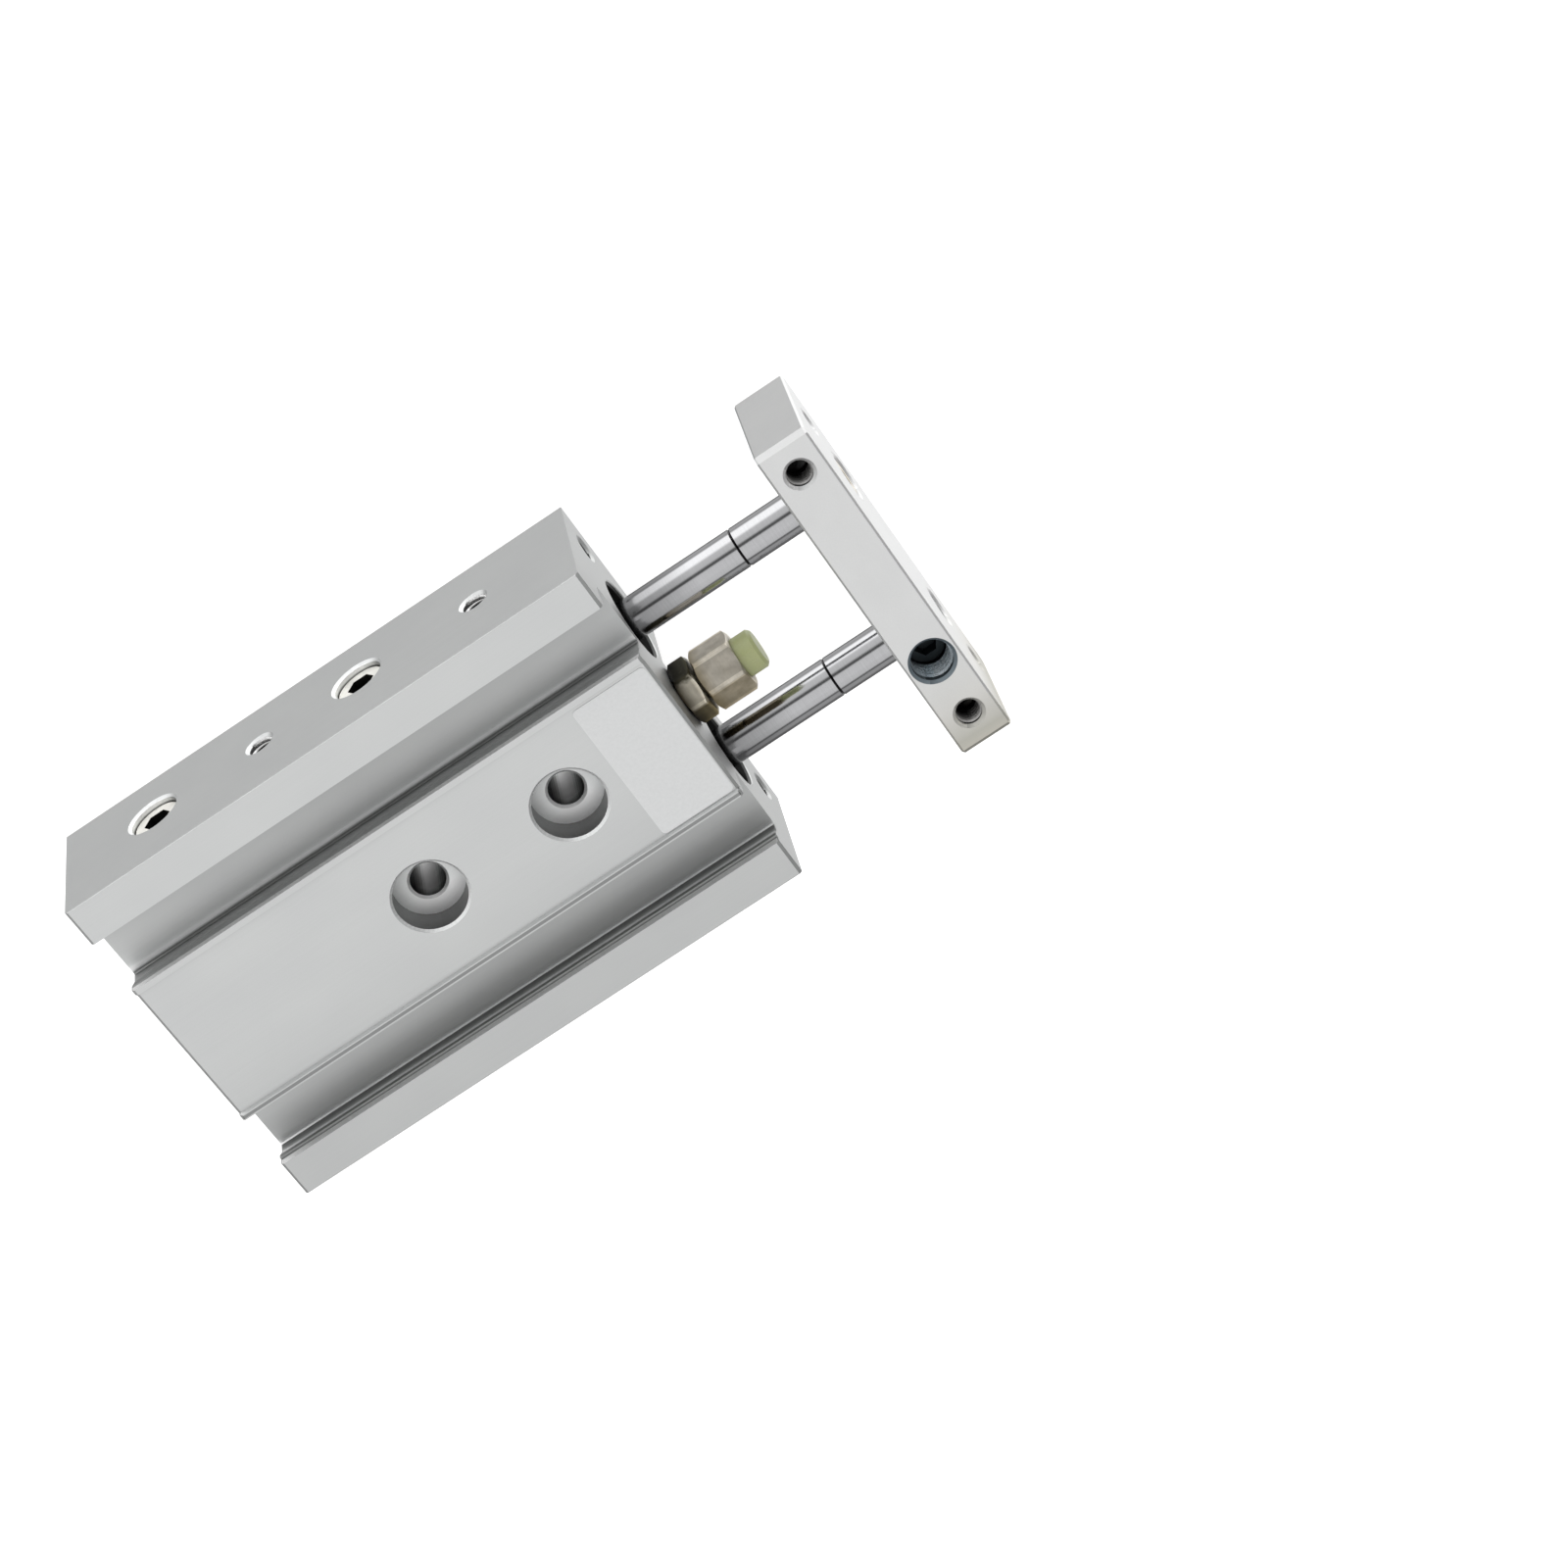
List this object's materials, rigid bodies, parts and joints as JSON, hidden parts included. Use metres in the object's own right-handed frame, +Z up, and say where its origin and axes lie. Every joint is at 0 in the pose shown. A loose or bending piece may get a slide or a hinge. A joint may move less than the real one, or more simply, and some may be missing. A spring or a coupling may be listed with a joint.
{
  "type": "guided pneumatic cylinder",
  "caption": "Flat block cylinder whose parallel piston rods push an end plate straight out; a bolt with a soft bumper between the rods sets where the plate stops.",
  "frame": {"origin": "on the flat base, midway between the two holes that fix the body down", "axes": "+X along the rods towards the end plate, +Z up out of the slotted face, +Y towards the side with the plugged ports"},
  "size_m": [0.0797, 0.037, 0.016],
  "materials": {
    "body_aluminium": "matt clear anodised extrusion",
    "plate_aluminium": "matt clear anodised, milled",
    "cover_aluminium": "turned, clear anodised",
    "plated_rod": "hard chrome, ground",
    "nickel_steel": "nickel plated, satin",
    "spring_steel": "phosphate coated",
    "black_steel": "black oxide",
    "seal_rubber": "moulded",
    "bumper_urethane": "translucent moulded",
    "magnet": "moulded plastic magnet",
    "piston_aluminium": "chromated, turned"
  },
  "bodies": {
    "housing": {"cylinder_body": "body_aluminium", "head_cover_a": "cover_aluminium", "head_cover_b": "cover_aluminium", "head_seal_a": "seal_rubber", "head_seal_b": "seal_rubber", "head_retaining_rings": "spring_steel", "rod_cover_a": "cover_aluminium", "rod_cover_b": "cover_aluminium", "cover_seal_a": "seal_rubber", "cover_seal_b": "seal_rubber", "rod_seal_a": "seal_rubber", "rod_seal_b": "seal_rubber", "seal_retainer_a": "cover_aluminium", "seal_retainer_b": "cover_aluminium", "rod_retaining_rings": "spring_steel", "port_plugs": "nickel_steel"},
    "carriage": {"end_plate": "plate_aluminium", "rod_a_screw": "nickel_steel", "rod_b_set_screw": "black_steel", "piston_rod_a": "plated_rod", "piston_rod_b": "plated_rod", "piston_a": "piston_aluminium", "piston_b": "piston_aluminium", "piston_seal_a": "seal_rubber", "piston_seal_b": "seal_rubber", "magnet_a": "magnet", "magnet_b": "magnet", "magnet_holder_a": "piston_aluminium", "magnet_holder_b": "piston_aluminium", "stop_cushion_a": "bumper_urethane", "stop_cushion_b": "bumper_urethane"},
    "adjusting_bolt": {"bumper_bolt": "nickel_steel", "bumper": "bumper_urethane"},
    "lock_nut": {"lock_nut": "nickel_steel"}
  },
  "joints": [
    {"name": "plate_slide", "type": "slide", "parent": "housing", "child": "carriage", "axis": [1, 0, 0], "range_m": [-0.01, 0]},
    {"name": "adjusting_bolt_turn", "type": "hinge", "parent": "housing", "child": "adjusting_bolt", "pos_m": [0.0254, 0, 0.00935], "axis": [1, 0, 0], "continuous": true},
    {"name": "lock_nut_turn", "type": "hinge", "parent": "housing", "child": "lock_nut", "pos_m": [0.0221, 0, 0.00935], "axis": [1, 0, 0], "continuous": true}
  ]
}
